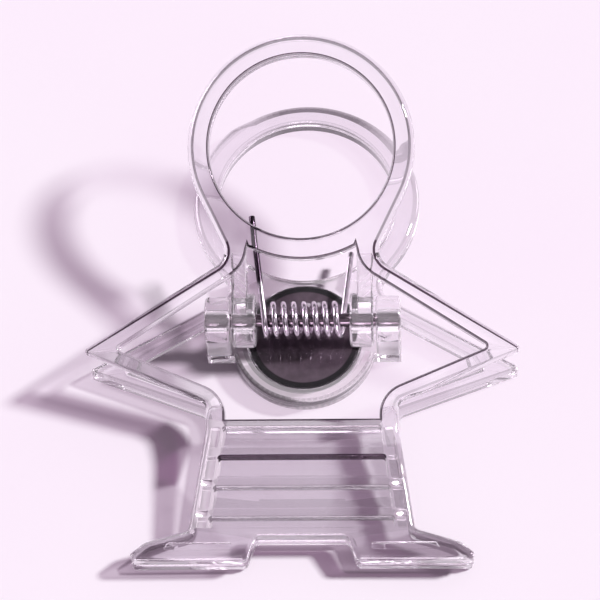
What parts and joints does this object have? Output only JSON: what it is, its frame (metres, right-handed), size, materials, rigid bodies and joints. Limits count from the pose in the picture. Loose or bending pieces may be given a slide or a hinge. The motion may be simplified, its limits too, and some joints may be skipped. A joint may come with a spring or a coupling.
{
  "type": "magnetic memo clip",
  "caption": "Clear plastic memo clip shaped like a standing figure: sprung front lever on a steel pin, gripping toes, ring heads to squeeze, disc magnet in the back.",
  "frame": {"origin": "middle of the disc magnet's outer face, on the plane that the clip sticks to", "axes": "+X to the figure's left hand (the viewer's right), +Y from the feet to the head, +Z away from the surface that the magnet sticks to"},
  "size_m": [0.0604, 0.0723, 0.0256],
  "materials": {
    "clear_plastic": "clear, glossy",
    "pin_steel": "plain steel",
    "spring_steel": "bright drawn wire",
    "ferrite": "dull, dark grey"
  },
  "bodies": {
    "rear": {"rear_half": "clear_plastic", "hinge_pin": "pin_steel", "torsion_spring": "spring_steel", "magnet": "ferrite"},
    "lever": {"front_lever": "clear_plastic"}
  },
  "joints": [
    {"name": "lever_hinge", "type": "hinge", "parent": "rear", "child": "lever", "pos_m": [0, 0.0004, 0.0072], "axis": [-1, 0, 0], "range_deg": [0, 28], "stiffness_Nm_per_rad": 0.12, "springref_deg": -34.38, "deforming": ["torsion_spring"]}
  ]
}
